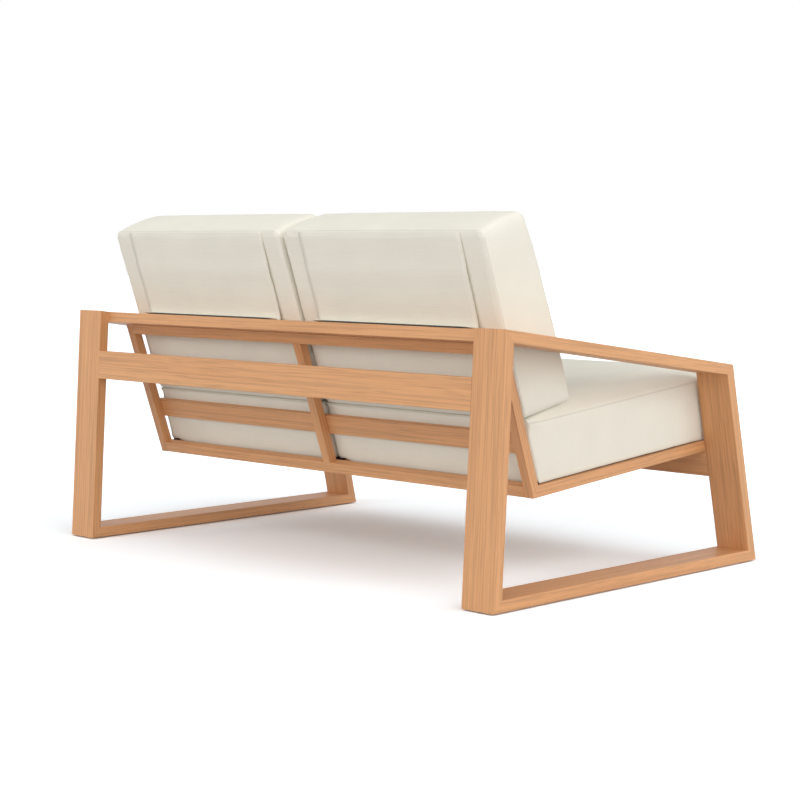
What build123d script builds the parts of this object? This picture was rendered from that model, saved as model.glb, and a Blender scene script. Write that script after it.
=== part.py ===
from build123d import *
import math
import os

# Two-seat patio lounge with sled side frames, a leaning slatted back and four loose cushions.
# Lengths are in millimetres. The sitter faces -Y, +X is the sitter's left and +Z is up.
# The origin is on the floor, under the middle of the frame.

# Overall size
overall_width = 1600.0
side_depth = 1015.0

# Side frames: four mitred boards each
board_width = 98.0
board_thickness = 28.0
arm_rear_height = 631.5
arm_front_height = 513.0
rear_leg_lean_depth = 39.5
front_leg_lean_depth = 115.0
edge_ease_radius = 1.5

# Cross rails
top_rail_width = 87.0
mid_rail_start_height = 445.0
mid_rail_height = 76.5
apron_start_height = 227.0

# Leaning back frame and seat frame
stile_width = 26.0
stile_depth = 25.0
seat_rail_depth = 27.0
back_corner_depth = 247.0
back_corner_height = 225.0
back_lean_angle = 18.5
seat_slope_angle = 4.9
bottom_rail_height = 28.0
crossbar_start_height = 357.0
back_slat_width = 51.0
back_slat_thickness = 13.0
back_slat_lap = 10.0
lower_slat_start_height = 100.0
upper_slat_start_height = 217.0

# Seat slats, let into the seat rails from above
seat_slat_count = 5
seat_slat_width = 60.0
seat_slat_thickness = 16.0
slat_housing_depth = 8.0
seat_slat_rear_gap = 60.0
seat_slat_front_gap = 40.0

# Loose tenons and dowels
glue_gap = 0.1
tenon_thickness = 6.0
tenon_width = 30.0
tenon_spacing = 28.0
corner_tenon_depth = 10.0
rail_tenon_depth = 16.0
rail_tenon_spacing = 18.0
angle_tenon_width = 9.0
angle_tenon_edge_gap = 3.0
angle_tenon_depth = 8.0
dowel_diameter = 8.0
dowel_end_depth = 20.0
dowel_side_depth = 9.0
outer_dowel_edge_gap = 7.0
crossbar_dowel_shares = (-0.66, -0.33, 0.33, 0.66)

# Screws
slat_screw_diameter = 4.0
slat_screw_length = 30.0
slat_screw_head_diameter = 8.0
slat_screw_spacing = 28.0
screw_sink_depth = 2.5
glide_screw_length = 16.0

# Glides under the four feet
glide_diameter = 18.0
glide_height = 3.5
glide_edge_gap = 16.0
glide_recess_depth = 1.2

# Hook and loop strips
back_tape_end_gap = 27.5
back_tape_width = 26.0
back_tape_thickness = 2.2
back_tape_rear_gap = 50.0
seat_tape_thickness = 2.0
seat_hook_width = 9.0
seat_loop_width = 9.0
seat_tape_end_gap = 12.0

# Cushions
soft_gap = 0.3
cushion_arm_gap = 12.25
centre_gap = 1.5
seam_radius = 4.0
corner_radius = 22.0
side_pull_depth = 3.0
side_bow_depth = 2.0
seat_overhang_depth = 12.7
seat_cushion_rear_thickness = 144.0
seat_cushion_front_thickness = 152.0
seat_crown_height = 25.0
seat_crown_flat_width = 89.0
back_cushion_start_height = 180.0
back_cushion_drop_height = 20.0
back_cushion_top_height = 643.0
back_cushion_base_thickness = 171.0
back_cushion_head_thickness = 146.0
back_crown_height = 24.0
back_crown_flat_width = 91.0
back_top_crown_height = 13.0
side_steps = 4
crown_steps = 8

# Rear flap of each back cushion, hooked to the top rail
flap_edge_gap = 69.5
flap_thickness = 2.0
flap_head_gap = 3.0
flap_top_gap = 6.0
flap_knee_drop_height = 95.0
flap_knee_gap = 5.0

os.makedirs("parts", exist_ok=True)

half_width = overall_width / 2
inner_face = half_width - board_width
stile_inner = inner_face - stile_width
cushion_width = inner_face - cushion_arm_gap - centre_gap / 2
parallel_tolerance = 1e-6


def unit(angle):
    """Direction in the side plane, as forward and up, for an angle in degrees above straight forward."""
    return math.cos(math.radians(angle)), math.sin(math.radians(angle))


def along(point, direction, distance):
    return tuple(p + d * distance for p, d in zip(point, direction))


def between(point, other, share=0.5):
    return tuple(p + (o - p) * share for p, o in zip(point, other))


def heading(start, end):
    length = math.dist(start, end)
    return tuple((e - s) / length for s, e in zip(start, end))


def left_of(direction):
    return -direction[1], direction[0]


def crossing(point, direction, other, other_direction):
    """Where two lines in the side plane meet."""
    spread = direction[0] * other_direction[1] - direction[1] * other_direction[0]
    gap = tuple(o - p for p, o in zip(point, other))
    reach = (gap[0] * other_direction[1] - gap[1] * other_direction[0]) / spread
    return along(point, direction, reach)


def place(x, point):
    """World position of a side-plane point, given as distance forward of the rear foot and height."""
    forward, height = point
    return x, side_depth / 2 - forward, glide_height + height


def prism(points, low, high):
    outline = Polyline(*[place(low, point) for point in points], close=True)
    return extrude(make_face(outline), amount=high - low, dir=(1, 0, 0))


def ease(solid, direction=None):
    """Round the edges that run along a piece: along X, or along a direction in the side plane."""
    run = Vector(1, 0, 0) if direction is None else Vector(0, -direction[0], direction[1])
    edges = [edge for edge in solid.edges() if (edge % 0).cross(run).length < parallel_tolerance]
    return fillet(edges, edge_ease_radius)


def block(centre_x, centre, direction, sizes):
    """Box in the side plane: its width across X, its length along a direction, and its thickness."""
    width, length, thickness = sizes
    across = left_of(direction)
    points = []
    for forward, up in ((-1, -1), (1, -1), (1, 1), (-1, 1)):
        start = along(centre, direction, forward * length / 2)
        points.append(along(start, across, up * thickness / 2))
    return prism(points, centre_x - width / 2, centre_x + width / 2)


def rod(x, start, direction, length, radius, end_radius=None):
    """Round pin in the side plane, from a start point along a direction."""
    plane = Plane(origin=place(x, start), z_dir=(0, -direction[0], direction[1]))
    if end_radius is None:
        pin = Cylinder(radius, length, align=(Align.CENTER, Align.CENTER, Align.MIN))
    else:
        pin = Cone(radius, end_radius, length, align=(Align.CENTER, Align.CENTER, Align.MIN))
    return plane * pin


def cross_rod(x, point, length, radius):
    """Round pin along X, starting at x; a negative length runs the other way."""
    plane = Plane(origin=place(x, point), z_dir=(math.copysign(1, length), 0, 0))
    return plane * Cylinder(radius, abs(length), align=(Align.CENTER, Align.CENTER, Align.MIN))


def overlaps(first, second):
    a, b = first.bounding_box(), second.bounding_box()
    apart = a.max.X < b.min.X or b.max.X < a.min.X or a.max.Y < b.min.Y or b.max.Y < a.min.Y
    return not (apart or a.max.Z < b.min.Z or b.max.Z < a.min.Z)


def cut(solid, cutters):
    near = [cutter for cutter in cutters if overlaps(solid, cutter)]
    return solid - near if near else solid


def mirrored(solid):
    return solid.mirror(Plane.YZ)


# Side frame profile, from its four outer corners
rear_foot = (0.0, 0.0)
rear_top = (rear_leg_lean_depth, arm_rear_height)
front_top = (side_depth - front_leg_lean_depth, arm_front_height)
front_foot = (side_depth, 0.0)
outer_corners = (rear_foot, rear_top, front_top, front_foot)
board_names = ("rear_leg", "arm", "front_leg", "runner")


def inner_corner(index):
    corner = outer_corners[index]
    coming = heading(outer_corners[index - 1], corner)
    going = heading(corner, outer_corners[(index + 1) % 4])
    start = along(corner, left_of(coming), -board_thickness)
    other = along(corner, left_of(going), -board_thickness)
    return crossing(start, coming, other, going)


inner_corners = [inner_corner(index) for index in range(4)]
inner_rear_foot, inner_rear_top, inner_front_top, inner_front_foot = inner_corners
leg_up = heading(rear_foot, rear_top)
arm_forward = heading(rear_top, front_top)
front_leg_up = heading(front_foot, front_top)

# Directions of the leaning back and the sloping seat
back_up = unit(90 + back_lean_angle)
back_out = (back_up[1], -back_up[0])
seat_forward = unit(seat_slope_angle)
seat_up = left_of(seat_forward)
back_corner = (back_corner_depth, back_corner_height)


def back_point(up, out):
    """Side-plane point from the back corner, up the back and out towards the sitter."""
    return along(along(back_corner, back_up, up), back_out, out)


def seat_point(forward, up):
    """Side-plane point from the back corner, forward along the seat and up from it."""
    return along(along(back_corner, seat_forward, forward), seat_up, up)


angle_inner = crossing(back_point(0.0, stile_depth), back_up, seat_point(0.0, seat_rail_depth), seat_forward)

# Loose tenons in the mitred corners of one side frame, on the +X side
board_middle = inner_face + board_width / 2


def corner_tenons(gap):
    solids = []
    for outer, inner in zip(outer_corners, inner_corners):
        across = left_of(heading(outer, inner))
        for side in (-1, 1):
            x = board_middle + side * tenon_spacing
            sizes = (tenon_width + 2 * gap, 2 * (corner_tenon_depth + gap), tenon_thickness + 2 * gap)
            solids.append(block(x, between(outer, inner), across, sizes))
    return solids


# Cross rails as side-plane outlines
top_rail_rear = inner_rear_top
top_rail_lift = left_of(arm_forward)
top_rail_front = along(top_rail_rear, arm_forward, top_rail_width)
top_rail_outline = [
    top_rail_rear,
    top_rail_front,
    along(top_rail_front, top_rail_lift, board_thickness),
    along(top_rail_rear, top_rail_lift, board_thickness),
]
leg_in = (leg_up[1], -leg_up[0])
mid_rail_low = along(rear_foot, leg_up, mid_rail_start_height)
mid_rail_high = along(mid_rail_low, leg_up, mid_rail_height)
mid_rail_outline = [
    mid_rail_low,
    along(mid_rail_low, leg_in, board_thickness),
    along(mid_rail_high, leg_in, board_thickness),
    mid_rail_high,
]
apron_in = left_of(front_leg_up)
apron_front_low = along(front_foot, front_leg_up, apron_start_height)
apron_rear_low = along(apron_front_low, apron_in, board_thickness)
seat_top_line = seat_point(0.0, seat_rail_depth)
apron_front_high = crossing(apron_front_low, front_leg_up, seat_top_line, seat_forward)
apron_rear_high = crossing(apron_rear_low, front_leg_up, seat_top_line, seat_forward)
apron_outline = [apron_rear_low, apron_front_low, apron_front_high, apron_rear_high]


def rail_tenons(gap):
    """Two loose tenons at each end of the three cross rails."""
    top_middle = between(top_rail_outline[0], top_rail_outline[2])
    mid_middle = between(mid_rail_outline[0], mid_rail_outline[2])
    apron_low = between(apron_rear_low, apron_front_low)
    apron_high = between(apron_rear_high, apron_front_high)
    apron_middle = between(apron_low, apron_high)
    spots = ((top_middle, arm_forward), (mid_middle, leg_up), (apron_middle, front_leg_up))
    sizes = (2 * (rail_tenon_depth + gap), tenon_width + 2 * gap, tenon_thickness + 2 * gap)
    solids = []
    for middle, direction in spots:
        for offset in (-rail_tenon_spacing, rail_tenon_spacing):
            for side in (-1, 1):
                solids.append(block(side * inner_face, along(middle, direction, offset), direction, sizes))
    return solids


def angle_tenons(gap):
    """Loose tenon across the mitre where each outer stile turns into its seat rail."""
    across = left_of(heading(back_corner, angle_inner))
    sizes = (angle_tenon_width + 2 * gap, 2 * (angle_tenon_depth + gap), tenon_thickness + 2 * gap)
    x = inner_face - angle_tenon_edge_gap - angle_tenon_width / 2
    return [block(side * x, between(back_corner, angle_inner), across, sizes) for side in (-1, 1)]


def top_rail_under(out):
    """How far up the back the underside of the top rail is, at a distance out from its rear face."""
    point = crossing(back_point(0.0, out), back_up, top_rail_rear, arm_forward)
    return math.dist(back_point(0.0, out), point)


def dowels(gap):
    """Identical dowels: a long end in end grain and a short end in the piece it meets."""
    radius = dowel_diameter / 2 + gap
    middle_out = stile_depth / 2
    under = top_rail_under(middle_out)
    length = dowel_end_depth + dowel_side_depth + 2 * gap
    solids = []
    for side in (-1, 1):
        for level in (bottom_rail_height / 2, (crossbar_start_height + under) / 2):
            start = side * (stile_inner - dowel_end_depth - gap)
            solids.append(cross_rod(start, back_point(level, middle_out), side * length, radius))
        x = side * (inner_face - outer_dowel_edge_gap)
        solids.append(rod(x, back_point(under - dowel_end_depth - gap, middle_out), back_up, length, radius))
    for share in crossbar_dowel_shares:
        start = back_point(under - dowel_end_depth - gap, middle_out)
        solids.append(rod(share * stile_inner, start, back_up, length, radius))
    for level, direction in ((crossbar_start_height, 1), (bottom_rail_height, -1)):
        start = back_point(level - direction * (dowel_end_depth + gap), middle_out)
        solids.append(rod(0, start, tuple(direction * part for part in back_up), length, radius))
    rail_middle = seat_rail_depth / 2
    backwards = tuple(-part for part in seat_forward)
    rear_end = crossing(seat_point(0.0, rail_middle), seat_forward, back_point(0.0, stile_depth), back_up)
    solids.append(rod(0, along(rear_end, seat_forward, dowel_end_depth + gap), backwards, length, radius))
    front_end = crossing(seat_point(0.0, rail_middle), seat_forward, apron_rear_low, front_leg_up)
    rail_x = inner_face - stile_width / 2
    for x in (-rail_x, 0.0, rail_x):
        start = along(front_end, backwards, dowel_end_depth + gap)
        solids.append(rod(x, start, seat_forward, length, radius))
    return solids


def screw(x, head, direction, length, gap):
    """Countersunk wood screw with its head flush at a point, driven along a direction."""
    radius = slat_screw_diameter / 2 + gap
    taper = rod(x, head, direction, screw_sink_depth, slat_screw_head_diameter / 2 + gap, radius)
    return taper + rod(x, head, direction, length + gap, radius)


slat_front = stile_depth + back_slat_thickness
slat_inward = tuple(-part for part in back_out)
slat_starts = (("lower_back_slat", lower_slat_start_height), ("upper_back_slat", upper_slat_start_height))
outer_screw = stile_inner + back_slat_lap / 2
screw_places = (outer_screw, 0.0, -outer_screw)


def slat_screws(gap):
    solids = []
    for _, start in slat_starts:
        middle = start + back_slat_width / 2
        for x in screw_places:
            for offset in (-slat_screw_spacing / 2, slat_screw_spacing / 2):
                head = back_point(middle + offset, slat_front)
                solids.append(screw(x, head, slat_inward, slat_screw_length, gap))
    return solids


glide_spots = (("rear", glide_edge_gap), ("front", side_depth - glide_edge_gap))


def glide_screws(gap):
    solids = []
    for _, forward in glide_spots:
        for side in (-1, 1):
            head = (forward, glide_recess_depth - glide_height)
            solids.append(screw(side * board_middle, head, (0, 1), glide_screw_length, gap))
    return solids


# Pockets that every joint leaves in the pieces that it joins
corner_pockets = corner_tenons(glue_gap)
rail_pockets = rail_tenons(glue_gap)
angle_pockets = angle_tenons(glue_gap)
dowel_pockets = dowels(glue_gap)
slat_screw_pockets = slat_screws(glue_gap)
glide_screw_pockets = glide_screws(glue_gap)
nodes = {}

# Side frames
for index, name in enumerate(board_names):
    following = (index + 1) % 4
    outline = [outer_corners[index], outer_corners[following], inner_corners[following], inner_corners[index]]
    along_board = heading(outer_corners[index], outer_corners[following])
    board = ease(prism(outline, inner_face, half_width), along_board)
    board = cut(board, corner_pockets)
    left_board = cut(board, rail_pockets + glide_screw_pockets)
    nodes["left_" + name] = left_board
    nodes["right_" + name] = mirrored(left_board)
nodes["left_corner_tenons"] = Compound(children=corner_tenons(0.0))
nodes["right_corner_tenons"] = Compound(children=[mirrored(solid) for solid in corner_tenons(0.0)])

# Cross rails
rail_outlines = {"top_rail": top_rail_outline, "mid_rail": mid_rail_outline, "front_apron": apron_outline}
for name, outline in rail_outlines.items():
    rail = ease(prism(outline, -inner_face, inner_face))
    nodes[name] = cut(rail, rail_pockets + dowel_pockets)
nodes["rail_tenons"] = Compound(children=rail_tenons(0.0))

# Leaning back frame
under_rear = top_rail_under(0.0)
under_front = top_rail_under(stile_depth)
stile_outline = [back_corner, back_point(under_rear, 0.0), back_point(under_front, stile_depth), angle_inner]
middle_stile_outline = [
    back_point(bottom_rail_height, 0.0),
    back_point(crossbar_start_height, 0.0),
    back_point(crossbar_start_height, stile_depth),
    back_point(bottom_rail_height, stile_depth),
]
crossbar_outline = [
    back_point(crossbar_start_height, 0.0),
    back_point(under_rear, 0.0),
    back_point(under_front, stile_depth),
    back_point(crossbar_start_height, stile_depth),
]
bottom_rail_outline = [
    back_corner,
    back_point(bottom_rail_height, 0.0),
    back_point(bottom_rail_height, stile_depth),
    back_point(0.0, stile_depth),
]
frame_pockets = dowel_pockets + angle_pockets + slat_screw_pockets
outer_stile = ease(prism(stile_outline, stile_inner, inner_face), back_up)
nodes["left_stile"] = cut(outer_stile, frame_pockets)
nodes["right_stile"] = mirrored(nodes["left_stile"])
centre_stile = ease(prism(middle_stile_outline, -stile_width / 2, stile_width / 2), back_up)
nodes["centre_stile"] = cut(centre_stile, frame_pockets)
crossbar = ease(prism(crossbar_outline, -stile_inner, stile_inner))
nodes["top_crossbar"] = cut(crossbar, frame_pockets)
bottom_rail = ease(prism(bottom_rail_outline, -stile_inner, stile_inner))
nodes["bottom_rail"] = cut(bottom_rail, frame_pockets)

# Seat slats lie in stopped housings in the rails
rail_front_low = crossing(seat_point(0.0, 0.0), seat_forward, apron_rear_low, front_leg_up)
rail_front_high = crossing(seat_top_line, seat_forward, apron_rear_low, front_leg_up)
slat_end_gaps = seat_slat_rear_gap + seat_slat_front_gap
slat_run = math.dist(seat_top_line, rail_front_high) - slat_end_gaps - seat_slat_width
slat_pitch = slat_run / (seat_slat_count - 1)
slat_low = stile_width / 2 - slat_housing_depth
slat_high = stile_inner + slat_housing_depth


def seat_slat(index, grow):
    """Slat of the left bay; a grown one is the housing, open at the top of the rails."""
    forward = seat_slat_rear_gap + index * slat_pitch + seat_slat_width / 2
    centre = seat_point(forward, seat_rail_depth - seat_slat_thickness / 2)
    sizes = (slat_high - slat_low + 2 * grow, seat_slat_width + 2 * grow, seat_slat_thickness)
    return block((slat_low + slat_high) / 2, centre, seat_forward, sizes)


slats = [seat_slat(index, 0.0) for index in range(seat_slat_count)]
housings = [seat_slat(index, glue_gap) for index in range(seat_slat_count)]
for index, slat in enumerate(slats):
    long_slat = ease(slat)
    nodes["left_seat_slat_" + str(index + 1)] = long_slat
    nodes["right_seat_slat_" + str(index + 1)] = mirrored(long_slat)

# Seat rails
seat_rail_outline = [back_corner, rail_front_low, rail_front_high, angle_inner]
outer_rail = ease(prism(seat_rail_outline, stile_inner, inner_face), seat_forward)
outer_rail = cut(outer_rail, dowel_pockets + angle_pockets)
nodes["left_seat_rail"] = cut(outer_rail, housings)
nodes["right_seat_rail"] = mirrored(nodes["left_seat_rail"])
centre_start_low = crossing(back_corner, seat_forward, back_point(0.0, stile_depth), back_up)
centre_outline = [centre_start_low, rail_front_low, rail_front_high, angle_inner]
centre_rail = ease(prism(centre_outline, -stile_width / 2, stile_width / 2), seat_forward)
centre_rail = cut(centre_rail, dowel_pockets + housings)
nodes["centre_seat_rail"] = cut(centre_rail, [mirrored(housing) for housing in housings])
nodes["angle_tenons"] = Compound(children=angle_tenons(0.0))
nodes["frame_dowels"] = Compound(children=dowels(0.0))

# Back slats, screwed to the front of the stiles
for name, start in slat_starts:
    centre = back_point(start + back_slat_width / 2, stile_depth + back_slat_thickness / 2)
    slat_length = 2 * (stile_inner + back_slat_lap)
    slat = block(0.0, centre, back_up, (slat_length, back_slat_width, back_slat_thickness))
    nodes[name] = cut(ease(slat), slat_screw_pockets)
nodes["back_slat_screws"] = Compound(children=slat_screws(0.0))

# Glides and their screws
for name, forward in glide_spots:
    start = (forward, -glide_height)
    glide = rod(board_middle, start, (0, 1), glide_height, glide_diameter / 2)
    access = rod(board_middle, start, (0, 1), glide_recess_depth, slat_screw_head_diameter / 2 + glue_gap)
    glide = cut(glide - access, glide_screw_pockets)
    nodes["left_" + name + "_glide"] = glide
    nodes["right_" + name + "_glide"] = mirrored(glide)
nodes["glide_screws"] = Compound(children=glide_screws(0.0))

# Cushion forms: a stack of flat outlines whose sides pull in and whose face is crowned


def outline_wire(at, half, low, high, radius, pull):
    """Four drawn-in sides and four round corners, through points that at(u, v) sets on one plane."""
    bite = radius * (1 - math.sqrt(0.5))
    middle = (low + high) / 2
    corners = ((half, high), (-half, high), (-half, low), (half, low))
    side_middles = ((0.0, high - pull), (-half + pull, middle), (0.0, low + pull), (half - pull, middle))
    arcs = []
    for index, (u, v) in enumerate(corners):
        u_in = -math.copysign(1, u)
        v_in = -1 if v == high else 1
        ends = [at(u, v + v_in * radius), at(u + u_in * radius, v)]
        first, last = ends if index % 2 == 0 else ends[::-1]
        arcs.append((first, at(u + u_in * bite, v + v_in * bite), last))
    edges = []
    for index, (first, corner_middle, last) in enumerate(arcs):
        edges.append(ThreePointArc(first, corner_middle, last))
        edges.append(ThreePointArc(last, at(*side_middles[index]), arcs[(index + 1) % 4][0]))
    return Wire(edges)


def cushion(spot, low, high, thicknesses, crown):
    """Crowned box cushion, as a stack of outlines from its flat face to the top of its crown.

    spot(u, v, w) places a point: u across, v along and w through the cushion.
    low and high give the ends along v at a share of the thickness.
    thicknesses are at the low and high ends, and crown is its height and the width of its flat top.
    """
    thin_end, thick_end = thicknesses
    crown_height, crown_flat = crown
    half = cushion_width / 2
    start, run = low(1.0), high(1.0) - low(1.0)
    crown_span = (min(cushion_width, run) - crown_flat) / 2
    bevel = seam_radius * (1 - math.sqrt(0.5))
    levels = [(0.0, 0.0, seam_radius, 0.0), (0.0, bevel, bevel, 0.0), (0.0, seam_radius, 0.0, 0.0)]
    for step in range(1, side_steps + 1):
        share = step / side_steps
        levels.append((share, 0.0, 0.0, side_pull_depth * math.sin(math.pi * share)))
    for step in range(1, crown_steps + 1):
        angle = math.radians(90 * step / crown_steps)
        levels.append((1.0, crown_height * math.sin(angle), crown_span * (1 - math.cos(angle)), 0.0))
    faces = []
    for share, lift, edge, pull in levels:

        def at(u, v):
            depth = thin_end + (thick_end - thin_end) * (v - start) / run
            return spot(u, v, share * depth + lift)

        first, last = low(share) + edge, high(share) - edge
        bow = side_bow_depth + pull
        wire = outline_wire(at, half - edge - pull, first + pull, last - pull, corner_radius, bow)
        faces.append(make_face(wire))
    return loft(faces, ruled=True)


cushion_middle = centre_gap / 2 + cushion_width / 2
flap_width = cushion_width - 2 * flap_edge_gap
back_tape_length = flap_width - 2 * back_tape_end_gap
seat_cushion_reach = math.dist(seat_top_line, apron_front_high) + seat_overhang_depth
seat_cushion_low = seat_rail_depth + 2 * seat_tape_thickness + soft_gap
rear_limit = slat_front + soft_gap


def seat_spot(u, v, w):
    return place(cushion_middle + u, seat_point(v, seat_cushion_low + w))


def seat_rear(share):
    """Rear end of the seat cushion, which follows the lean of the back."""
    level = seat_cushion_low + share * seat_cushion_rear_thickness
    point = crossing(back_point(0.0, rear_limit), back_up, seat_point(0.0, level), seat_forward)
    return math.dist(seat_point(0.0, level), point)


def seat_front(share):
    return seat_cushion_reach


seat_sizes = (seat_cushion_rear_thickness, seat_cushion_front_thickness)
seat_crown = (seat_crown_height, seat_crown_flat_width)
nodes["left_seat_cushion"] = cushion(seat_spot, seat_rear, seat_front, seat_sizes, seat_crown)


def back_spot(u, v, w):
    return place(cushion_middle + u, back_point(v, rear_limit + w))


def back_low(share):
    return back_cushion_start_height - share * back_cushion_drop_height


def back_high(share):
    """Top end of the back cushion, which swells between its two seams."""
    return back_cushion_top_height + back_top_crown_height * math.sin(math.pi * share)


back_sizes = (back_cushion_base_thickness, back_cushion_head_thickness)
back_crown = (back_crown_height, back_crown_flat_width)
nodes["left_back_cushion"] = cushion(back_spot, back_low, back_high, back_sizes, back_crown)

# Hook strips on the frame
tape_base = along(top_rail_outline[3], arm_forward, back_tape_rear_gap)


def rail_strip(low, high, start, width):
    """Strip that lies over the top rail, between two heights above it."""
    corners = []
    for forward, lift in ((0.0, low), (width, low), (width, high), (0.0, high)):
        corners.append(along(along(start, arm_forward, forward), top_rail_lift, lift))
    return prism(corners, cushion_middle - back_tape_length / 2, cushion_middle + back_tape_length / 2)


loop_low = back_tape_thickness + soft_gap
loop_high = loop_low + back_tape_thickness
nodes["left_top_rail_hook_strip"] = rail_strip(0.0, back_tape_thickness, tape_base, back_tape_width)
nodes["left_flap_loop_strip"] = rail_strip(loop_low, loop_high, tape_base, back_tape_width)


def seat_strip(x_low, x_high, base):
    rear = math.dist(seat_point(0.0, seat_rail_depth), angle_inner) + seat_tape_end_gap
    front = math.dist(seat_top_line, rail_front_high) - seat_tape_end_gap
    points = [seat_point(rear, base), seat_point(front, base)]
    points += [seat_point(front, base + seat_tape_thickness), seat_point(rear, base + seat_tape_thickness)]
    return prism(points, x_low, x_high)


hook_base = seat_rail_depth
loop_base = seat_cushion_low - seat_tape_thickness
nodes["left_seat_hook_strip"] = seat_strip(stile_inner, stile_inner + seat_hook_width, hook_base)
nodes["centre_seat_hook_strip"] = seat_strip(-stile_width / 2, stile_width / 2, hook_base)
inner_loop = centre_gap / 2 + seam_radius + side_pull_depth
loop_strips = [seat_strip(x, x + seat_loop_width, loop_base) for x in (stile_inner, inner_loop)]
nodes["left_seat_loop_strips"] = Compound(children=loop_strips)
nodes["right_seat_loop_strips"] = Compound(children=[mirrored(strip) for strip in loop_strips])

# Rear flap: down the back of the cushion, then rearward over the loop strip
flap_low = along(tape_base, top_rail_lift, loop_high)
flap_high = along(flap_low, top_rail_lift, flap_thickness)
flap_head = back_cushion_top_height - flap_top_gap
flap_knee = flap_head - flap_knee_drop_height
flap_front = rear_limit - flap_head_gap
knee_front = rear_limit - flap_knee_gap
flap_outline = [
    back_point(flap_head, flap_front - flap_thickness),
    back_point(flap_knee, knee_front - flap_thickness),
    crossing(back_point(0.0, knee_front - flap_thickness), back_up, flap_high, arm_forward),
    flap_high,
    flap_low,
    crossing(back_point(0.0, knee_front), back_up, flap_low, arm_forward),
    back_point(flap_knee, knee_front),
    back_point(flap_head, flap_front),
]
flap_start = cushion_middle - flap_width / 2
nodes["left_cushion_flap"] = prism(flap_outline, flap_start, flap_start + flap_width)

for name in [name for name in nodes if name.startswith("left_")]:
    other = name.replace("left_", "right_", 1)
    if other not in nodes:
        nodes[other] = mirrored(nodes[name])

for name, shape in nodes.items():
    export_step(shape, "parts/" + name + ".step")
print(len(nodes), "nodes")
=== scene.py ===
import math

import bmesh
import bpy
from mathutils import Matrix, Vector, noise
from mathutils.bvhtree import BVHTree
from mathutils.kdtree import KDTree


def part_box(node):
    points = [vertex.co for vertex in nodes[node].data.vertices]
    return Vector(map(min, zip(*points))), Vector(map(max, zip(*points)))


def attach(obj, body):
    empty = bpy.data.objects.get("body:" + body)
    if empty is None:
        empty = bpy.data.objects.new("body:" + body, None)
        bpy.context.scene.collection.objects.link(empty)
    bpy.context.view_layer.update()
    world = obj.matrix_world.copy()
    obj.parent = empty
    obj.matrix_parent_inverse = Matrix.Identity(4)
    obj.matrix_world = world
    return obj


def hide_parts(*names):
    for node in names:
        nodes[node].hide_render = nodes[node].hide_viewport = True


# A patio loveseat seen from behind. Everything is in metres: the sitter faces -Y and +Z is up.

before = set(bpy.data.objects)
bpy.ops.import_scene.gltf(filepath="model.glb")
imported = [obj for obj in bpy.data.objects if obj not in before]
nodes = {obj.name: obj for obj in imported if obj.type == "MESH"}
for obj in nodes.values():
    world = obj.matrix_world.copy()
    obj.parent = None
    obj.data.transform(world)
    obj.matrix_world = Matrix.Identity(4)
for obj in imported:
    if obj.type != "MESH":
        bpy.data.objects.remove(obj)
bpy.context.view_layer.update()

# Camera, solved from the straight edges of the frame
camera_place = (-3.54497, 3.54477, 0.83582)
camera_yaw = math.radians(45)
camera_pitch = math.radians(4.955)
camera_lens = 84.225
camera_sensor = 36.0

# Directions of the frame's pieces, as the angles that they make in the side plane
back_lean = math.radians(18.5)
seat_slope = math.radians(4.9)
back_up = Vector((0, math.sin(back_lean), math.cos(back_lean)))
back_out = Vector((0, -math.cos(back_lean), math.sin(back_lean)))
seat_forward = Vector((0, -math.cos(seat_slope), math.sin(seat_slope)))
seat_up = Vector((0, math.sin(seat_slope), math.cos(seat_slope)))
across = Vector((1, 0, 0))
seat_rail_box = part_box("left_seat_rail")
back_corner = Vector((0, seat_rail_box[1].y, seat_rail_box[0].z))

# Materials

# Objects take parts of a texture that lie up to this far apart
texture_spread = 40.0

# The Mix node's colour sockets, by number because its others have the same names
mix_first, mix_second, mix_result = 6, 7, 2


def material(name, build):
    """New node material, built by a function that gets its tree and its shader."""
    made = bpy.data.materials.new(name)
    made.use_nodes = True
    tree = made.node_tree
    build(tree, tree.nodes["Principled BSDF"])
    return made


def add(tree, kind, **settings):
    """New node. A setting that names one of its sockets is that socket's value."""
    node = tree.nodes.new(kind)
    for key, value in settings.items():
        if key in node.inputs:
            node.inputs[key].default_value = value
        else:
            setattr(node, key, value)
    return node


def coordinates(tree, direction, scale, own_part=True):
    """Object coordinates turned so that a direction lies along the texture's X, then scaled.

    With own_part, each object takes another part of the texture.
    """
    place = add(tree, "ShaderNodeTexCoord")
    turn = Vector(direction).rotation_difference(Vector((1, 0, 0))).to_euler()
    turned = add(tree, "ShaderNodeMapping", Rotation=turn)
    tree.links.new(place.outputs["Object"], turned.inputs["Vector"])
    scaled = add(tree, "ShaderNodeMapping", Scale=scale)
    tree.links.new(turned.outputs["Vector"], scaled.inputs["Vector"])
    if not own_part:
        return scaled.outputs["Vector"]
    info = add(tree, "ShaderNodeObjectInfo")
    shift = add(tree, "ShaderNodeVectorMath", operation="SCALE", Scale=texture_spread)
    tree.links.new(info.outputs["Random"], shift.inputs[0])
    moved = add(tree, "ShaderNodeVectorMath", operation="ADD")
    tree.links.new(scaled.outputs["Vector"], moved.inputs[0])
    tree.links.new(shift.outputs["Vector"], moved.inputs[1])
    return moved.outputs["Vector"]


def ramp(tree, source, stops):
    """Colour ramp on a value, from a list of positions and their colours."""
    made = add(tree, "ShaderNodeValToRGB")
    tree.links.new(source, made.inputs["Fac"])
    while len(made.color_ramp.elements) < len(stops):
        made.color_ramp.elements.new(0.5)
    for element, (position, colour) in zip(made.color_ramp.elements, stops):
        element.position = position
        element.color = (*colour, 1.0)
    return made.outputs["Color"]


def grey(value):
    return (value, value, value)


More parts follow.
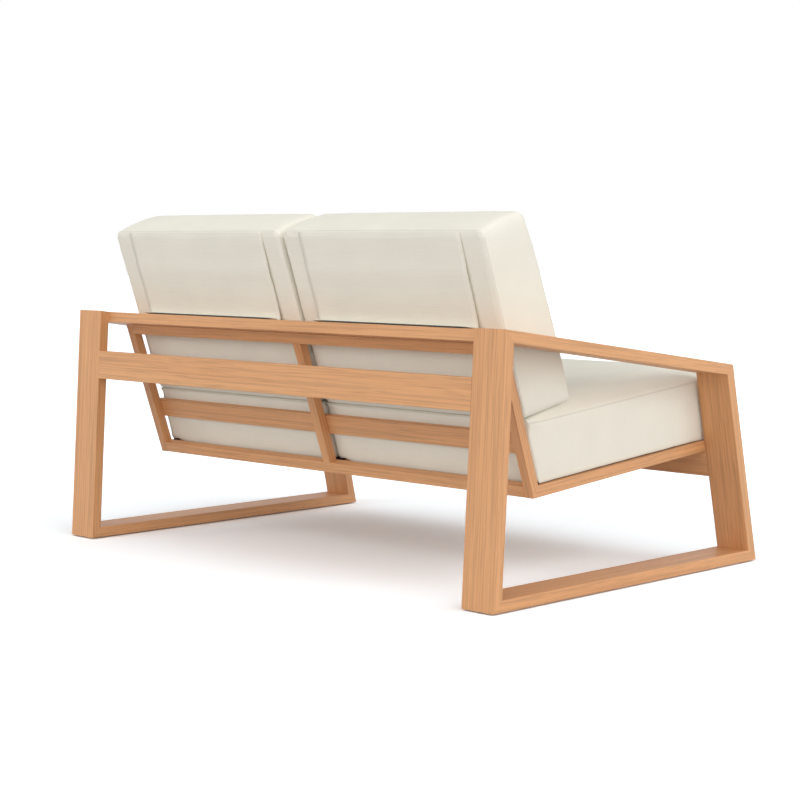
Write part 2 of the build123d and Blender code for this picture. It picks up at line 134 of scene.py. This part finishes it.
def mix(tree, mode, amount, first, second):
    """Blend of two colours by a mode such as MULTIPLY."""
    made = add(tree, "ShaderNodeMix", data_type="RGBA", blend_type=mode)
    made.inputs["Factor"].default_value = amount
    tree.links.new(first, made.inputs[mix_first])
    tree.links.new(second, made.inputs[mix_second])
    return made.outputs[mix_result]


# Wood. A scale is how often a pattern repeats in a metre, along the grain and twice across it.

board_thickness = 0.028
wood_light = (0.710, 0.358, 0.155)
wood_middle = (0.681, 0.333, 0.139)
wood_dark = (0.627, 0.292, 0.116)
figure_scale = (0.9, 26.0, 26.0)
ring_scale = (2.6, 230.0, 230.0)
pore_scale = (9.0, 520.0, 520.0)
ring_shade = 0.24
pore_shade = 0.28


def wood(name, direction):
    """Straight-grained hardwood, with its grain along a direction."""

    def build(tree, shader):
        figure = add(tree, "ShaderNodeTexNoise", Scale=1.0, Detail=3.0, Roughness=0.55, Distortion=0.25)
        tree.links.new(coordinates(tree, direction, figure_scale), figure.inputs["Vector"])
        tones = [(0.28, wood_dark), (0.47, wood_middle), (0.70, wood_light)]
        base = ramp(tree, figure.outputs["Fac"], tones)
        rings = add(tree, "ShaderNodeTexNoise", Scale=1.0, Detail=2.0, Roughness=0.6, Distortion=0.1)
        tree.links.new(coordinates(tree, direction, ring_scale), rings.inputs["Vector"])
        ring_tone = ramp(tree, rings.outputs["Fac"], [(0.38, grey(1 - ring_shade)), (0.54, grey(1.0))])
        pores = add(tree, "ShaderNodeTexNoise", Scale=1.0, Detail=2.0, Roughness=0.5)
        tree.links.new(coordinates(tree, direction, pore_scale), pores.inputs["Vector"])
        pore_tone = ramp(tree, pores.outputs["Fac"], [(0.34, grey(1 - pore_shade)), (0.46, grey(1.0))])
        toned = mix(tree, "MULTIPLY", 0.75, base, ring_tone)
        toned = mix(tree, "MULTIPLY", 0.65, toned, pore_tone)
        tree.links.new(toned, shader.inputs["Base Color"])
        bump = add(tree, "ShaderNodeBump", Strength=0.25, Distance=0.0004)
        tree.links.new(pores.outputs["Fac"], bump.inputs["Height"])
        tree.links.new(bump.outputs["Normal"], shader.inputs["Normal"])
        rough = add(tree, "ShaderNodeMapRange")
        rough.inputs["To Min"].default_value = 0.48
        rough.inputs["To Max"].default_value = 0.66
        tree.links.new(figure.outputs["Fac"], rough.inputs["Value"])
        tree.links.new(rough.outputs["Result"], shader.inputs["Roughness"])
        shader.inputs["IOR"].default_value = 1.45
        shader.inputs["Coat Weight"].default_value = 0.40
        shader.inputs["Coat Roughness"].default_value = 0.42

    return material(name, build)


# Woven cover fabric

fabric_colour = (0.850, 0.822, 0.722)
fabric_thread = (0.832, 0.802, 0.700)
cloud_shade = 0.035
# Painted shade: the share by which the fabric's colour is darkened along the seams, standing in for the
# shade in their creases
seam_painted_shade = 0.17
thread_pitch = 0.0016
slub_scale = (9.0, 300.0, 300.0)
unscaled = (1.0, 1.0, 1.0)

# Length of one band of the wave texture at a scale of 1
wave_length = math.pi / 10


def fabric(name, direction):
    """Plain weave with slubs that run along a direction, with painted shade along the seams."""

    def build(tree, shader):
        slubs = add(tree, "ShaderNodeTexNoise", Scale=1.0, Detail=3.0, Roughness=0.6)
        tree.links.new(coordinates(tree, direction, slub_scale), slubs.inputs["Vector"])
        colour = ramp(tree, slubs.outputs["Fac"], [(0.36, fabric_thread), (0.62, fabric_colour)])
        cloudy = add(tree, "ShaderNodeTexNoise", Scale=9.0, Detail=2.0)
        tree.links.new(coordinates(tree, direction, unscaled), cloudy.inputs["Vector"])
        cloud_tone = ramp(tree, cloudy.outputs["Fac"], [(0.3, grey(1 - cloud_shade)), (0.7, grey(1.0))])
        colour = mix(tree, "MULTIPLY", 1.0, colour, cloud_tone)
        # Painted shade along the seams: the colour is darkened where the seam mark is, standing in for the
        # shade in the seam creases
        seam = add(tree, "ShaderNodeAttribute")
        seam.attribute_name = "seam"
        seam_painted_shade_tone = ramp(tree, seam.outputs["Fac"], [(0.15, grey(1.0)), (1.0, grey(1 - seam_painted_shade))])
        colour = mix(tree, "MULTIPLY", 1.0, colour, seam_painted_shade_tone)
        tree.links.new(colour, shader.inputs["Base Color"])
        threads = []
        for axis in ("X", "Y", "Z"):
            wave = add(tree, "ShaderNodeTexWave", bands_direction=axis, wave_profile="SIN",
                       Scale=wave_length / thread_pitch, Distortion=1.2)
            wave.inputs["Detail Scale"].default_value = 0.4
            tree.links.new(coordinates(tree, direction, unscaled, False), wave.inputs["Vector"])
            threads.append(wave.outputs["Fac"])
        total = threads[0]
        for thread in threads[1:]:
            plus = add(tree, "ShaderNodeMath", operation="ADD")
            tree.links.new(total, plus.inputs[0])
            tree.links.new(thread, plus.inputs[1])
            total = plus.outputs["Value"]
        weave = add(tree, "ShaderNodeBump", Strength=0.22, Distance=0.0005)
        tree.links.new(total, weave.inputs["Height"])
        uneven = add(tree, "ShaderNodeBump", Strength=0.12, Distance=0.0008)
        tree.links.new(slubs.outputs["Fac"], uneven.inputs["Height"])
        tree.links.new(weave.outputs["Normal"], uneven.inputs["Normal"])
        tree.links.new(uneven.outputs["Normal"], shader.inputs["Normal"])
        shader.inputs["Roughness"].default_value = 0.92
        shader.inputs["Sheen Weight"].default_value = 0.15
        shader.inputs["Sheen Roughness"].default_value = 0.5
        shader.inputs["Specular IOR Level"].default_value = 0.2

    return material(name, build)


# Hook and loop tape, glides and screws

tape_colour = (0.022, 0.021, 0.02)
glide_colour = (0.03, 0.03, 0.032)
steel_colour = (0.55, 0.55, 0.56)
speck_shade = 0.3


def plain(name, colour, roughness, grain, depth, metal=0.0):
    """Moulded, fuzzy or metal finish: one colour with fine mottling and bumps."""

    def build(tree, shader):
        speck = add(tree, "ShaderNodeTexNoise", Scale=1.0, Detail=4.0, Roughness=0.7)
        tree.links.new(coordinates(tree, across, (grain, grain, grain)), speck.inputs["Vector"])
        darker = tuple(part * (1 - speck_shade) for part in colour)
        mottled = ramp(tree, speck.outputs["Fac"], [(0.3, darker), (0.7, colour)])
        tree.links.new(mottled, shader.inputs["Base Color"])
        bump = add(tree, "ShaderNodeBump", Strength=0.5, Distance=depth)
        tree.links.new(speck.outputs["Fac"], bump.inputs["Height"])
        tree.links.new(bump.outputs["Normal"], shader.inputs["Normal"])
        shader.inputs["Roughness"].default_value = roughness
        shader.inputs["Metallic"].default_value = metal

    return material(name, build)


def finish_frame():
    """Give every CAD node its material, with the wood's grain along its board."""
    arm_low, arm_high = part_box("left_arm")
    arm = Vector((0, arm_high.y - arm_low.y, arm_high.z - arm_low.z - board_thickness))
    front_low, front_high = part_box("left_front_leg")
    front_leg = Vector((0, front_high.y - front_low.y - board_thickness, front_high.z - front_low.z))
    rear_low, rear_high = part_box("left_rear_leg")
    rear_leg = Vector((0, rear_low.y - rear_high.y + board_thickness, rear_high.z - rear_low.z))
    woods = {
        "rear_leg": wood("wood_rear_leg", rear_leg),
        "front_leg": wood("wood_front_leg", front_leg),
        "arm": wood("wood_arm", arm),
        "runner": wood("wood_runner", (0, 1, 0)),
        "stile": wood("wood_stile", back_up),
        "seat_rail": wood("wood_seat_rail", seat_forward),
    }
    cross_wood = wood("wood_across", across)
    tape = plain("hook_tape", tape_colour, roughness=0.95, grain=1400.0, depth=0.0008)
    glide = plain("glide_plastic", glide_colour, roughness=0.45, grain=600.0, depth=0.0002)
    steel = plain("screw_steel", steel_colour, roughness=0.35, grain=900.0, depth=0.0001, metal=1.0)
    for name, node in nodes.items():
        finish = cross_wood
        for ending, board_wood in woods.items():
            if name.endswith(ending):
                finish = board_wood
        if "strip" in name:
            finish = tape
        elif "screws" in name:
            finish = steel
        elif "glide" in name:
            finish = glide
        node.data.materials.clear()
        node.data.materials.append(finish)


# Cushions: sizes of the sewn covers before they are stuffed

cushion_width = 0.6893
centre_gap = 0.006
cushion_middle = (centre_gap + cushion_width) / 2
cover_slack = 0.0005
cover_width = cushion_width - 2 * cover_slack
back_cushion_rear = 0.0383
seat_cushion_bottom = 0.0313
seam_radius = 0.006
side_draw = 0.001
soft_clearance = 0.001

# Angle between the leaning back and a line square to the seat
turn_angle = back_lean - seat_slope

# Their mesh: distances of the narrow rows from an edge, which of them is the seam, and the even rows
panel_rows = (0.0025, 0.007, 0.013, 0.019, 0.029)
side_rows = (0.0025, 0.005, 0.0075, 0.012, 0.021)
seam_row_number = 2
cell = 0.016

# Their filling and sewing
pressure = 4.0
cloth_steps = 20
swell_limit = 0.012
seam_depth = 0.0018
pucker_depth = 0.0013
pucker_reach = 0.020
pucker_scale = 70.0


def word_of(side):
    return "left" if side > 0 else "right"


def ticks(length, fine):
    """Grid lines from 0 to 1 along an edge: close together at both ends, even between them."""
    ends = [0.0, *fine]
    middle = length - 2 * ends[-1]
    count = max(2, round(middle / cell))
    line = ends + [ends[-1] + middle * k / count for k in range(1, count)]
    line += [length - step for step in reversed(ends)]
    return [value / length for value in line]


def box_grid(sizes):
    """Closed box surface of quads, in shares from 0 to 1, with narrow rows at its edges and seams.

    Returns the vertices' shares, the faces, the vertices by their place in the grid, and its counts.
    """
    lines = [ticks(size, rows) for size, rows in zip(sizes, (panel_rows, panel_rows, side_rows))]
    counts = [len(line) for line in lines]
    index = {}
    shares = []

    def vertex(i, j, k):
        key = (i, j, k)
        if key not in index:
            index[key] = len(shares)
            shares.append((lines[0][i], lines[1][j], lines[2][k]))
        return index[key]

    faces = []
    for axis in range(3):
        first, second = (axis + 1) % 3, (axis + 2) % 3
        for end in (0, counts[axis] - 1):
            for a in range(counts[first] - 1):
                for b in range(counts[second] - 1):
                    corners = []
                    for da, db in ((0, 0), (1, 0), (1, 1), (0, 1)):
                        at = [0, 0, 0]
                        at[axis], at[first], at[second] = end, a + da, b + db
                        corners.append(vertex(*at))
                    faces.append(corners if end else corners[::-1])
    return shares, faces, index, counts


def rounded(point, sizes, corner_radius):
    """Move a point of a box's surface to one with rounded corners in its outline and rounded seams."""
    u, v, w = point
    width, length, depth = sizes
    core = Vector((min(max(u, corner_radius), width - corner_radius),
                   min(max(v, corner_radius), length - corner_radius)))
    away = Vector((u, v)) - core
    reach = max(abs(away.x), abs(away.y))
    if reach == 0:
        return u, v, w
    direction = away.normalized()
    level = min(w, depth - w)
    from_edge = seam_radius - (corner_radius - reach)
    from_panel = seam_radius - level
    if from_edge > 0 and from_panel > 0:
        bend = Vector((from_edge, from_panel))
        bend = bend.normalized() * max(bend)
        reach = corner_radius - seam_radius + bend.x
        level = seam_radius - bend.y
    place = core + direction * reach
    return place.x, place.y, level if w < depth / 2 else depth - level


def make_cushion(name, spot, sizes, shape, limits, corner_radius):
    """Sewn cushion: a box of cloth with a seam round each panel, blown up by cloth simulation.

    spot(u, v, w) gives the place of a point across, along and through the cushion.
    shape(u, v, w) moves a point of the plain box to the cut of the real cover.
    limits are functions that keep a point of the cover off what the cushion rests on.
    """
    shares, faces, index, counts = box_grid(sizes)
    mesh = bpy.data.meshes.new(name)
    places = []
    for share in shares:
        point = rounded([part * size for part, size in zip(share, sizes)], sizes, corner_radius)
        places.append(spot(*shape(*point)))
    mesh.from_pydata(places, [], faces)
    piece = bpy.data.objects.new(name, mesh)
    bpy.context.scene.collection.objects.link(piece)
    bm = bmesh.new()
    bm.from_mesh(mesh)
    bmesh.ops.recalc_face_normals(bm, faces=bm.faces)
    bm.to_mesh(mesh)
    bm.free()
    seams = seam_vertices(index, counts)
    swell(piece, seams)
    sew(piece, seams)
    mark_seams(mesh, seams)
    for vertex in mesh.vertices:
        for limit in limits:
            vertex.co = limit(vertex.co)
    smooth = piece.modifiers.new("smooth", "SUBSURF")
    smooth.levels = 1
    smooth.render_levels = 1
    return piece


def keep_off(point, normal):
    """Limit that keeps a point of the cover in front of a plane."""

    def limit(place):
        below = (place - point).dot(normal)
        return place - normal * min(0.0, below)

    return limit


def seam_vertices(index, counts):
    """Vertices on the two long seams, round the faces at the low and high end of the third axis."""
    found = set()
    for (i, j, k), number in index.items():
        on_rim = i in (0, counts[0] - 1) or j in (0, counts[1] - 1)
        if on_rim and k in (seam_row_number, counts[2] - 1 - seam_row_number):
            found.add(number)
    return found


def mark_seams(mesh, seams):
    """Keep the seams' edges sharp, and mark them for the painted shade that darkens the fabric's colour
    along them.
    """
    marks = mesh.attributes.new("seam", "FLOAT", "POINT")
    for number in seams:
        marks.data[number].value = 1.0
    creases = mesh.attributes.new("crease_edge", "FLOAT", "EDGE")
    for edge in mesh.edges:
        if edge.vertices[0] in seams and edge.vertices[1] in seams:
            creases.data[edge.index].value = 1.0


def swell(piece, seams):
    """Blow the cover up with cloth pressure, with its seams held, and keep the result."""
    mesh = piece.data
    start = [vertex.co.copy() for vertex in mesh.vertices]
    held = piece.vertex_groups.new(name="seams")
    held.add(sorted(seams), 1.0, "REPLACE")
    cloth = piece.modifiers.new("cloth", "CLOTH")
    settings = cloth.settings
    settings.quality = 8
    settings.mass = 0.3
    settings.tension_stiffness = 40
    settings.compression_stiffness = 40
    settings.shear_stiffness = 20
    settings.bending_stiffness = 2.0
    settings.use_pressure = True
    settings.uniform_pressure_force = pressure
    settings.vertex_group_mass = held.name
    settings.pin_stiffness = 1.0
    settings.effector_weights.gravity = 0
    cloth.collision_settings.use_collision = False
    scene = bpy.context.scene
    for number in range(cloth_steps):
        scene.frame_set(1 + number)
    bpy.context.view_layer.update()
    evaluated = piece.evaluated_get(bpy.context.evaluated_depsgraph_get())
    grown = [vertex.co.copy() for vertex in evaluated.data.vertices]
    piece.modifiers.remove(cloth)
    for vertex, before, after in zip(mesh.vertices, start, grown):
        move = after - before
        if move.length > swell_limit:
            move = move.normalized() * swell_limit
        vertex.co = before + move
    piece.vertex_groups.clear()
    scene.frame_set(1)


def sew(piece, seams):
    """Draw the seams in, with small puckers beside them."""
    mesh = piece.data
    mesh.update()
    tree = point_tree([mesh.vertices[number].co.copy() for number in sorted(seams)])
    for number in seams:
        vertex = mesh.vertices[number]
        vertex.co = vertex.co - vertex.normal * seam_depth
    for vertex in mesh.vertices:
        if vertex.index in seams:
            continue
        distance = tree.find(vertex.co)[2]
        if distance < 3 * pucker_reach:
            fading = pucker_depth * math.exp(-distance / pucker_reach)
            wave = noise.noise(vertex.co * pucker_scale) * fading
            vertex.co = vertex.co + vertex.normal * wave
    for polygon in mesh.polygons:
        polygon.use_smooth = True


def point_tree(points):
    tree = KDTree(len(points))
    for number, point in enumerate(points):
        tree.insert(point, number)
    tree.balance()
    return tree


def dome(distance, span):
    """Rise of a crown from 0 to 1, at a distance from its edge."""
    short = 1 - min(1.0, max(0.0, distance) / span)
    return math.sqrt(1 - short * short)


def pull_in(share, depth):
    """How far an edge is drawn in between its two corners."""
    return depth * math.sin(math.pi * min(1.0, max(0.0, share))) ** 0.5


# Back cushions, in lengths up the back and out from its rear face

back_start = 0.180
back_drop = 0.020
back_top = 0.644
back_top_swell = 0.011
back_base = 0.171
back_head = 0.147
back_bow = 0.010
back_crown = 0.018
back_crown_span = 0.16
back_corner_radius = 0.022
head_taper = 0.003
underside = (back_up * back_base + back_out * back_drop).normalized()


def back_cushion(name, side):
    """Cushion that stands on the seat cushion and leans on the back."""
    length = back_top - back_start
    middle = side * cushion_middle

    def spot(u, v, w):
        return back_corner + across * (middle + u) + back_up * v + back_out * (back_cushion_rear + w)

    def shape(u, v, w):
        share = v / length
        thickness = back_base + (back_head - back_base) * share + back_bow * pull_in(share, 1.0)
        level = w / back_base
        edge = min(u, cover_width - u)
        start = back_start - level * back_drop
        top = back_top + back_top_swell * math.sin(math.pi * level) * dome(edge, back_crown_span)
        up = start + share * (top - start)
        half = cover_width / 2 - pull_in(share, side_draw) - head_taper * share
        wide = (u / cover_width - 0.5) * 2 * half
        bulge = back_crown * dome(edge, back_crown_span) * dome(min(v, length - v), back_crown_span)
        return wide, up, level * (thickness + bulge)

    limits = [
        keep_off(back_corner + back_out * back_cushion_rear, back_out),
        keep_off(back_corner + back_up * back_start + back_out * back_cushion_rear, underside),
        keep_off(across * side * centre_gap / 2, across * side),
    ]
    sizes = (cover_width, length, back_base)
    piece = make_cushion(name, spot, sizes, shape, limits, back_corner_radius)
    piece.data.materials.append(cover_fabric)
    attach(piece, word_of(side) + "_back")
    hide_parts(word_of(side) + "_back_cushion")
    return piece


# Seat cushions, in lengths along the seat and up from its rails

seat_reach = 0.715
seat_rear_thickness = 0.146
seat_front_thickness = 0.156
seat_crown = 0.012
seat_crown_span = 0.20
seat_roll = 0.021
seat_roll_span = 0.040
rear_lift = 0.008
rear_lift_span = 0.060
slat_top = 0.153
slat_dent = 0.009
slat_dent_span = 0.014
rear_sag = 0.005
rear_sag_span = 0.055
seat_corner_radius = 0.007
slat_sag = 0.0035
strip_zone = 0.030
rail_hang = 0.0020
rail_hang_edge = 0.0048
lower_hem = 0.0080
lower_hem_reach = 0.030
tuft_share = 0.35
tuft_scale = 45.0
pressed_reach = 0.172
pressed_rise = 0.55


def seat_rear(level):
    """Where the leaning back stops the seat cushion, at a height above the underside of the rails."""
    rise = (level - back_cushion_rear * math.sin(turn_angle)) / math.cos(turn_angle)
    dent = slat_dent * math.exp(-((rise - slat_top) / slat_dent_span) ** 2)
    return (back_cushion_rear + dent) * math.cos(turn_angle) - rise * math.sin(turn_angle)


def under_back(place):
    """Press a point of the seat cushion down to clear the back cushion that stands on it."""
    along = (place - back_corner).dot(seat_forward)
    start = back_corner + back_up * back_start + back_out * back_cushion_rear
    above = (place - start).dot(underside) + soft_clearance
    above -= max(0.0, along - pressed_reach) * pressed_rise
    return place - seat_up * max(0.0, above)


def hem_fall(w, v):
    """How far the lower seam of a seat cushion hangs past the strip that it lies on, in small tufts."""
    tuft = 1 + tuft_share * noise.noise(Vector((v * tuft_scale, 0, 0)))
    return lower_hem * tuft * max(0.0, 1 - w / lower_hem_reach)


def seat_cushion(name, side):
    """Cushion that lies on the strips of the seat rails and hangs a little between them."""
    length = seat_reach - seat_rear(seat_cushion_bottom)
    middle = side * cushion_middle

    def spot(u, v, w):
        return back_corner + across * (middle + u) + seat_forward * v + seat_up * (seat_cushion_bottom + w)

    def shape(u, v, w):
        share = v / length
        thickness = seat_rear_thickness + (seat_front_thickness - seat_rear_thickness) * share
        level = w / seat_rear_thickness
        rear = seat_rear(seat_cushion_bottom + w)
        half = cover_width / 2 - pull_in(share, side_draw)
        wide = (u / cover_width - 0.5) * 2 * half
        edge = min(u, cover_width - u)
        end = min(v, length - v)
        rise = seat_crown * dome(edge, seat_crown_span) * dome(end, seat_crown_span)
        rise += seat_roll * dome(min(edge, end), seat_roll_span)
        near_rear = max(0.0, 1 - v / rear_lift_span)
        rise += rear_lift * near_rear * dome(edge, seam_radius)
        sag = slat_sag * dome(edge - strip_zone, strip_zone) * (1 - level)
        if v < rear_sag_span:
            sag += rear_sag * dome(edge - strip_zone, cushion_width / 4) * (1 - level)
        if (u > cover_width / 2) == (side > 0):
            sag += hem_fall(w, v) * max(0.0, 1 - edge / rail_hang_edge)
        return wide, rear + share * (seat_reach - rear), level * (thickness + rise) - sag

    def on_slats(place):
        edge = cover_width / 2 - abs(place.x - middle)
        low = 0.0 if edge < strip_zone else -slat_sag
        if edge > strip_zone and (place - back_corner).dot(seat_forward) < rear_sag_span:
            low -= rear_sag
        if abs(place.x) > abs(middle) and edge < rail_hang_edge:
            low = -rail_hang
        return keep_off(spot(0, 0, low), seat_up)(place)

    limits = [
        on_slats,
        under_back,
        keep_off(back_corner + back_out * back_cushion_rear, back_out),
        keep_off(across * side * centre_gap / 2, across * side),
    ]
    sizes = (cover_width, length, seat_rear_thickness)
    piece = make_cushion(name, spot, sizes, shape, limits, seat_corner_radius)
    piece.data.materials.append(cover_fabric)
    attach(piece, word_of(side) + "_seat")
    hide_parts(word_of(side) + "_seat_cushion")


# Rear flaps, sewn to the top seam of the back cushions and hooked to the top rail

# Points of a flap's line, as lengths up the back and out from its rear face
flap_line = (
    (0.6415, 0.0440),
    (0.632, 0.0385),
    (0.610, 0.0370),
    (0.575, 0.0362),
    (0.540, 0.0340),
    (0.500, 0.0352),
    (0.450, 0.0350),
    (0.422, 0.0335),
    (0.4095, 0.0300),
)
flap_width = 0.550
flap_thickness = 0.0018
hem_inset = 0.008
hem_lift = 0.0030
flap_clearance = 0.0004
flap_edge_lift = 0.0034
flap_edge_span = 0.035
flap_hug_span = 0.120
flap_columns = 34
flap_rows_to_a_point = 6
sway_depth = 0.0010
sway_scale_across = 9.0
sway_per_row = 0.12
ray_start = 0.1
ray_length = 0.2


def flap(name, side, cushion):
    """Cloth flap that lies on the rear face of a cushion and turns over the strip on the top rail."""
    word = word_of(side)
    depsgraph = bpy.context.evaluated_depsgraph_get()
    depsgraph.update()
    surface = BVHTree.FromObject(cushion, depsgraph)
    low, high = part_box(word + "_cushion_flap")
    strip_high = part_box(word + "_flap_loop_strip")[1]
    middle = (low.x + high.x) / 2
    foot = Vector((0, strip_high.y, strip_high.z))
    path = [back_corner + back_up * up + back_out * out for up, out in flap_line]
    path.append(foot + Vector((0, -hem_inset, hem_lift)))
    cut_length = sum((second - first).length for first, second in zip(path, path[1:]))
    count = (len(path) - 1) * flap_rows_to_a_point
    points = [smooth_point(path, step / flap_rows_to_a_point) for step in range(count + 1)]
    mesh = bpy.data.meshes.new(name)
    places, faces = [], []
    for column in range(flap_columns + 1):
        x = middle + (column / flap_columns - 0.5) * flap_width
        hug = min(1.0, (flap_width / 2 - x + middle) / flap_hug_span)
        edge = 1 - min(1.0, (flap_width / 2 + x - middle) / flap_edge_span)
        for row, point in enumerate(points):
            fall = row / count
            wave = 1 + noise.noise(Vector((x * sway_scale_across, row * sway_per_row, side)))
            sway = sway_depth * wave * math.sin(math.pi * fall) * hug
            lift = flap_edge_lift * edge ** 2 * fall
            place = Vector((x, point.y, point.z)) - back_out * (sway + lift)
            hit = surface.ray_cast(place - back_out * ray_start, back_out, ray_length)[0]
            if hit:
                depth = (place - hit).dot(back_out) + flap_thickness / 2 + flap_clearance
                place = place - back_out * max(0.0, depth)
            places.append(place)
    tall = count + 1
    for column in range(flap_columns):
        for row in range(count):
            corner = column * tall + row
            faces.append((corner, corner + 1, corner + tall + 1, corner + tall))
    mesh.from_pydata(places, [], faces)
    for polygon in mesh.polygons:
        polygon.use_smooth = True
    piece = bpy.data.objects.new(name, mesh)
    bpy.context.scene.collection.objects.link(piece)
    thick = piece.modifiers.new("thickness", "SOLIDIFY")
    thick.thickness = flap_thickness
    thick.offset = 0.0
    piece.data.materials.append(cover_fabric)
    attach(piece, word + "_back")
    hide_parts(word + "_cushion_flap")


def smooth_point(path, position):
    """Point on a smooth curve through a path, at a position counted in path points."""
    index = min(int(position), len(path) - 2)
    share = position - index
    before = path[max(index - 1, 0)]
    first, second = path[index], path[index + 1]
    after = path[min(index + 2, len(path) - 1)]
    tangent = (second - before) / 2
    next_tangent = (after - first) / 2
    square, cube = share * share, share ** 3
    point = first * (2 * cube - 3 * square + 1) + tangent * (cube - 2 * square + share)
    return point + second * (3 * square - 2 * cube) + next_tangent * (cube - square)


# Floor, camera and lights

floor_size = 60
floor_bounce = 0.60
floor_shown = (1.38, 1.45, 1.50)
world_light = 0.31
camera_far_end = 200

# Each lamp's name, strength, direction and softness in degrees
lamps = (
    ("overhead", 0.13, (0.0, 0.0, 1.0), 60),
    ("side", 0.78, (-1.0, 0.0, 0.15), 85),
    ("rear", 0.67, (0.0, 1.0, 0.15), 85),
    ("front", 0.13, (-0.5, -1.0, 0.9), 70),
)


def background_rays(tree):
    """1 for the rays that see the white background: the camera's, those of gloss and through glass."""
    path = add(tree, "ShaderNodeLightPath")
    seen = path.outputs["Is Camera Ray"]
    for other in ("Is Glossy Ray", "Is Transmission Ray"):
        either = add(tree, "ShaderNodeMath", operation="MAXIMUM")
        tree.links.new(seen, either.inputs[0])
        tree.links.new(path.outputs[other], either.inputs[1])
        seen = either.outputs["Value"]
    return seen


def make_stage():
    """Floor, world, lamps and camera."""
    bpy.ops.mesh.primitive_plane_add(size=floor_size, location=(0, 0, 0))
    floor = bpy.context.object
    floor.name = "floor"

    def build(tree, shader):
        plain_floor = add(tree, "ShaderNodeBsdfDiffuse", Color=(*grey(floor_bounce), 1))
        shown_floor = add(tree, "ShaderNodeBsdfDiffuse", Color=(*floor_shown, 1))
        both = add(tree, "ShaderNodeMixShader")
        tree.links.new(background_rays(tree), both.inputs["Fac"])
        tree.links.new(plain_floor.outputs["BSDF"], both.inputs[1])
        tree.links.new(shown_floor.outputs["BSDF"], both.inputs[2])
        tree.links.new(both.outputs["Shader"], tree.nodes["Material Output"].inputs["Surface"])
        tree.nodes.remove(shader)

    floor.data.materials.append(material("floor_white", build))

    world = bpy.data.worlds.new("studio")
    bpy.context.scene.world = world
    world.use_nodes = True
    tree = world.node_tree
    background = tree.nodes["Background"]
    strength = add(tree, "ShaderNodeMapRange")
    strength.inputs["To Min"].default_value = world_light
    strength.inputs["To Max"].default_value = 1.0
    tree.links.new(background_rays(tree), strength.inputs["Value"])
    background.inputs["Color"].default_value = (1, 1, 1, 1)
    tree.links.new(strength.outputs["Result"], background.inputs["Strength"])

    for name, power, direction, softness in lamps:
        lamp = bpy.data.lights.new(name, "SUN")
        lamp.energy = math.pi * power
        lamp.angle = math.radians(softness)
        holder = bpy.data.objects.new(name, lamp)
        holder.rotation_euler = Vector(direction).to_track_quat("Z", "Y").to_euler()
        bpy.context.scene.collection.objects.link(holder)

    lens = bpy.data.cameras.new("camera")
    lens.lens = camera_lens
    lens.sensor_width = camera_sensor
    lens.clip_end = camera_far_end
    camera = bpy.data.objects.new("camera", lens)
    camera.location = camera_place
    level = math.cos(camera_pitch)
    look = Vector((math.sin(camera_yaw) * level, -math.cos(camera_yaw) * level, -math.sin(camera_pitch)))
    camera.rotation_euler = look.to_track_quat("-Z", "Y").to_euler()
    bpy.context.scene.collection.objects.link(camera)
    bpy.context.scene.camera = camera
    bpy.context.scene.view_settings.view_transform = "Standard"


finish_frame()
cover_fabric = fabric("cover_fabric", across)
for side in (1, -1):
    seat_cushion("seat_pad_" + word_of(side), side)
    back = back_cushion("back_pad_" + word_of(side), side)
    flap("rear_flap_" + word_of(side), side, back)
make_stage()
